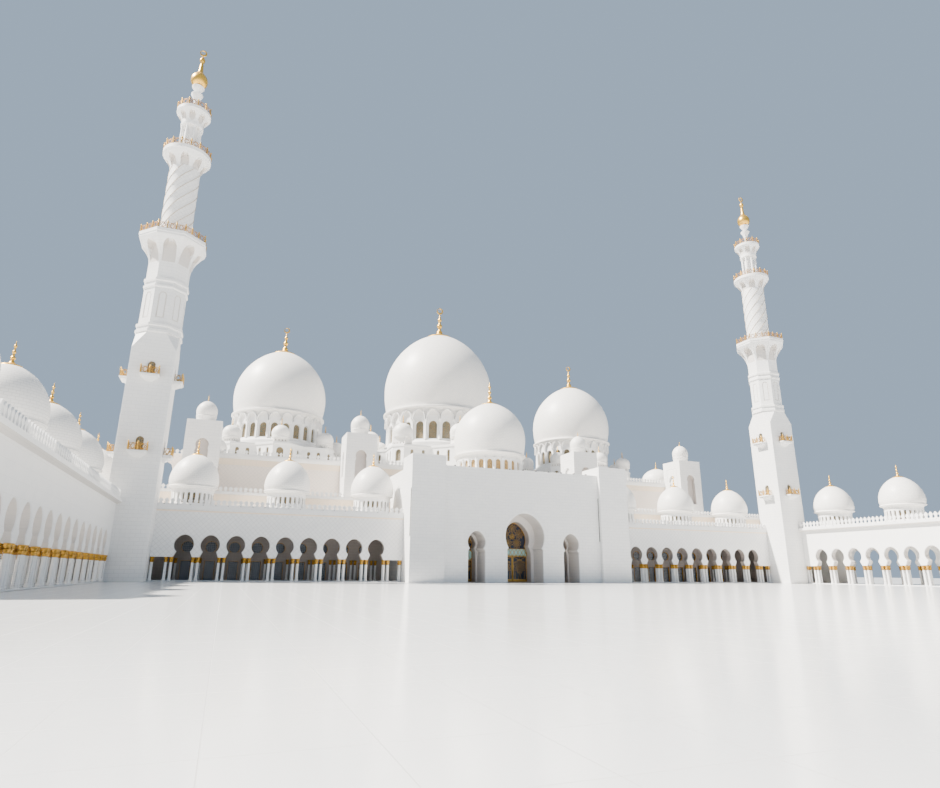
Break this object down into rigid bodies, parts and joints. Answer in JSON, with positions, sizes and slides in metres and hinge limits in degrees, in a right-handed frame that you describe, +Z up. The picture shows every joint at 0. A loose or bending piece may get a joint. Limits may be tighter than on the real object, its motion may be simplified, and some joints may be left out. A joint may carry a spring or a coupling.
{
  "type": "courtyard mosque building, 1:10 scale model",
  "caption": "White marble mosque at 1:10: domed prayer hall, gateway with doors, arcades, minarets and two court wings.",
  "frame": {"origin": "middle of the model's footprint at ground level", "axes": "+X to the right along the gateway's front, +Y back to the prayer hall, +Z up"},
  "size_m": [17.164, 15.1986, 10.6],
  "materials": {
    "white_marble": "honed white marble in courses",
    "cream_marble": "cream marble tiles and bands",
    "gilding": "polished gold leaf",
    "lattice_glass": "dark bronze lattice over coloured glass"
  },
  "bodies": {
    "building": {"centre_arch_screen": "lattice_glass", "centre_dome_base": "white_marble", "centre_great_dome": "white_marble", "entrance_dome": "white_marble", "hall_roof": "cream_marble", "hall_walls": "cream_marble", "left_arcade_back_wall": "white_marble", "left_arcade_colonnade": "white_marble", "left_arcade_roof": "white_marble", "left_arcade_wall": "white_marble", "left_arch_screen": "lattice_glass", "left_dome_base": "white_marble", "left_great_dome": "white_marble", "left_inner_turret": "white_marble", "left_minaret_finial": "gilding", "left_minaret_lantern": "white_marble", "left_minaret_octagon": "white_marble", "left_minaret_shaft": "white_marble", "left_minaret_twist": "white_marble", "left_outer_turret": "white_marble", "left_portal_side_wall": "white_marble", "left_pylon": "white_marble", "left_terrace_roof": "cream_marble", "left_wing_colonnade": "white_marble", "left_wing_inner_wall": "white_marble", "left_wing_outer_wall": "white_marble", "left_wing_roof": "white_marble", "portal_front_wall": "white_marble", "portal_inner_wall": "white_marble", "portal_roof": "white_marble", "right_arcade_back_wall": "white_marble", "right_arcade_colonnade": "white_marble", "right_arcade_roof": "white_marble", "right_arcade_wall": "white_marble", "right_arch_screen": "lattice_glass", "right_dome_base": "white_marble", "right_great_dome": "white_marble", "right_inner_turret": "white_marble", "right_minaret_finial": "gilding", "right_minaret_lantern": "white_marble", "right_minaret_octagon": "white_marble", "right_minaret_shaft": "white_marble", "right_minaret_twist": "white_marble", "right_outer_turret": "white_marble", "right_portal_side_wall": "white_marble", "right_pylon": "white_marble", "right_terrace_roof": "cream_marble", "right_wing_colonnade": "white_marble", "right_wing_inner_wall": "white_marble", "right_wing_outer_wall": "white_marble", "right_wing_roof": "white_marble"},
    "centre_door_left_leaf": {"centre_door_left_leaf": "lattice_glass"},
    "centre_door_right_leaf": {"centre_door_right_leaf": "lattice_glass"},
    "left_door_left_leaf": {"left_door_left_leaf": "lattice_glass"},
    "left_door_right_leaf": {"left_door_right_leaf": "lattice_glass"},
    "right_door_left_leaf": {"right_door_left_leaf": "lattice_glass"},
    "right_door_right_leaf": {"right_door_right_leaf": "lattice_glass"}
  },
  "joints": [
    {"name": "centre_door_left_hinge", "type": "hinge", "parent": "building", "child": "centre_door_left_leaf", "pos_m": [-0.32, -0.64067, 0], "axis": [0, 0, 1], "range_deg": [0, 90]},
    {"name": "centre_door_right_hinge", "type": "hinge", "parent": "building", "child": "centre_door_right_leaf", "pos_m": [0.32, -0.64067, 0], "axis": [0, 0, -1], "range_deg": [0, 90]},
    {"name": "left_door_left_hinge", "type": "hinge", "parent": "building", "child": "left_door_left_leaf", "pos_m": [-1.176, -0.64067, 0], "axis": [0, 0, 1], "range_deg": [0, 90]},
    {"name": "left_door_right_hinge", "type": "hinge", "parent": "building", "child": "left_door_right_leaf", "pos_m": [-0.916, -0.64067, 0], "axis": [0, 0, -1], "range_deg": [0, 90]},
    {"name": "right_door_left_hinge", "type": "hinge", "parent": "building", "child": "right_door_left_leaf", "pos_m": [0.916, -0.64067, 0], "axis": [0, 0, 1], "range_deg": [0, 90]},
    {"name": "right_door_right_hinge", "type": "hinge", "parent": "building", "child": "right_door_right_leaf", "pos_m": [1.176, -0.64067, 0], "axis": [0, 0, -1], "range_deg": [0, 90]}
  ]
}
